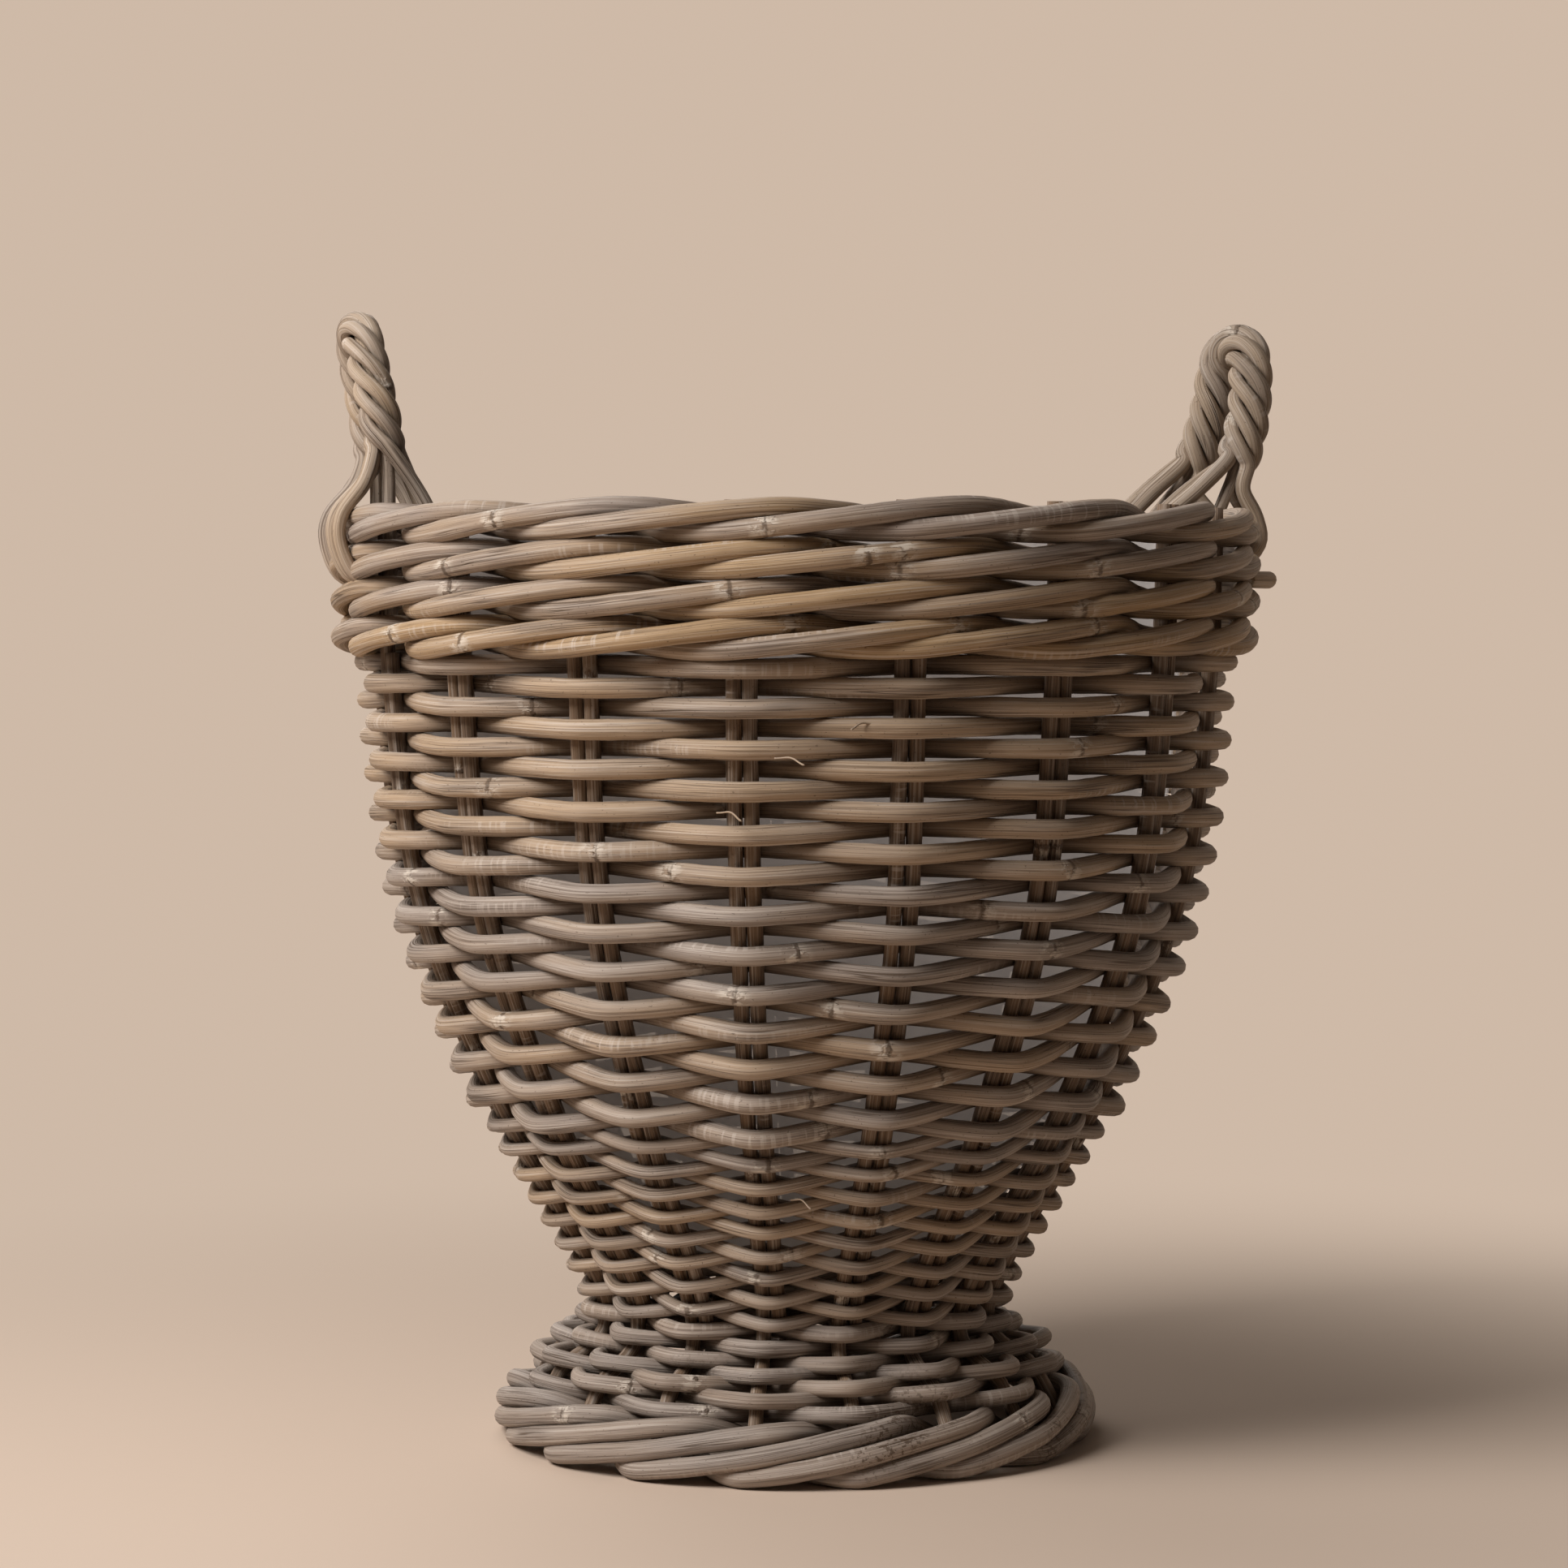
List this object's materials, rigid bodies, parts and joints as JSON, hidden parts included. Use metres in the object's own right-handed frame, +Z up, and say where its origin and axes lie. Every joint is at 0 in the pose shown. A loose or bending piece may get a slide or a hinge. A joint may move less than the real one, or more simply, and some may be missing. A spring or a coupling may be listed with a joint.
{
  "type": "rattan urn",
  "caption": "Woven rattan urn with a bowl on a flared foot, a waled rim, an upright rope handle at each side and a thin plastic liner.",
  "frame": {"origin": "on the floor, at the middle of the foot, on the urn's axis", "axes": "+Z up along the urn's axis, the handles near +X and -X, the front towards -Y"},
  "size_m": [0.4617, 0.4481, 0.5434],
  "materials": {
    "stakes": "weathered grey-brown cane, dull",
    "bowl_cane": "weathered grey-brown cane with fibre streaks, satin",
    "rim_cane": "tan to grey-brown cane, satin",
    "foot_cane": "greyer cane, dull, a little soiled",
    "handle_cane": "grey-brown cane, satin",
    "base_cane": "plain cane, dull",
    "liner": "thin pale grey film, a little shiny"
  },
  "bodies": {
    "root": {"main_stake_01": "stakes", "bye_stake_01": "stakes", "main_stake_02": "stakes", "bye_stake_02": "stakes", "main_stake_03": "stakes", "bye_stake_03": "stakes", "main_stake_04": "stakes", "bye_stake_04": "stakes", "main_stake_05": "stakes", "bye_stake_05": "stakes", "main_stake_06": "stakes", "bye_stake_06": "stakes", "main_stake_07": "stakes", "bye_stake_07": "stakes", "main_stake_08": "stakes", "bye_stake_08": "stakes", "main_stake_09": "stakes", "bye_stake_09": "stakes", "main_stake_10": "stakes", "bye_stake_10": "stakes", "main_stake_11": "stakes", "bye_stake_11": "stakes", "main_stake_12": "stakes", "bye_stake_12": "stakes", "main_stake_13": "stakes", "bye_stake_13": "stakes", "main_stake_14": "stakes", "bye_stake_14": "stakes", "main_stake_15": "stakes", "bye_stake_15": "stakes", "main_stake_16": "stakes", "bye_stake_16": "stakes", "main_stake_17": "stakes", "bye_stake_17": "stakes", "hip_weaver_1": "bowl_cane", "hip_weaver_2": "bowl_cane", "bowl_weaver_1": "bowl_cane", "bowl_weaver_2": "bowl_cane", "bowl_weaver_3": "bowl_cane", "bowl_weaver_4": "bowl_cane", "rim_wale_1": "rim_cane", "rim_wale_2": "rim_cane", "rim_wale_3": "rim_cane", "foot_border_1": "foot_cane", "foot_border_2": "foot_cane", "foot_border_3": "foot_cane", "foot_border_4": "foot_cane", "foot_weaver": "foot_cane", "left_handle_bow": "handle_cane", "left_handle_cane_1": "handle_cane", "left_handle_cane_2": "handle_cane", "left_handle_cane_3": "handle_cane", "left_handle_cane_4": "handle_cane", "right_handle_bow": "handle_cane", "right_handle_cane_1": "handle_cane", "right_handle_cane_2": "handle_cane", "right_handle_cane_3": "handle_cane", "right_handle_cane_4": "handle_cane", "base_mat": "base_cane", "liner": "liner"}
  },
  "joints": []
}
